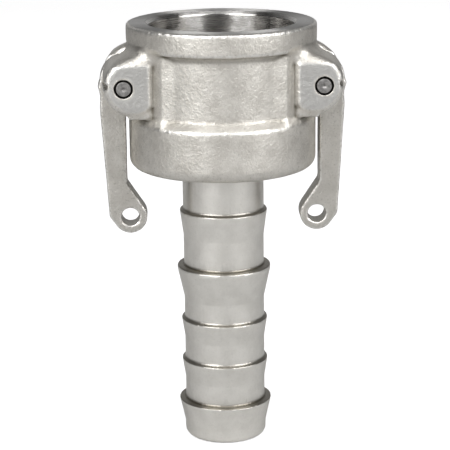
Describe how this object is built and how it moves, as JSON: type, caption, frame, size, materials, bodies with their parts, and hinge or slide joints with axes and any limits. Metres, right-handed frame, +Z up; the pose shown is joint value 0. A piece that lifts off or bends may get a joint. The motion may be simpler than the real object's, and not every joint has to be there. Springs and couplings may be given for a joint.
{
  "type": "camlock coupler",
  "caption": "Stainless cam-lever coupler: round socket with a face gasket, hinged cam arms on ears, and a barbed hose shank.",
  "frame": {"origin": "centre of the hose shank's foot, on the socket's axis", "axes": "+Z up the axis to the socket's mouth, cam arms at +X and -X, panels on the -Y and +Y sides"},
  "size_m": [0.056, 0.043, 0.0976],
  "materials": {
    "cast_body": "satin, investment cast and bead blasted, with a bright machined socket",
    "cast_arms": "satin, investment cast",
    "pins": "turned",
    "gasket_rubber": "matt black nitrile"
  },
  "bodies": {
    "coupler": {"coupler_body": "cast_body", "gasket": "gasket_rubber", "left_arm_pin": "pins", "right_arm_pin": "pins"},
    "left_arm": {"left_cam_arm": "cast_arms"},
    "right_arm": {"right_cam_arm": "cast_arms"}
  },
  "joints": [
    {"name": "left_arm_hinge", "type": "hinge", "parent": "coupler", "child": "left_arm", "pos_m": [-0.022, 0, 0.0848], "axis": [0, 1, 0], "range_deg": [0, 120]},
    {"name": "right_arm_hinge", "type": "hinge", "parent": "coupler", "child": "right_arm", "pos_m": [0.022, 0, 0.0848], "axis": [0, -1, 0], "range_deg": [0, 120]}
  ]
}
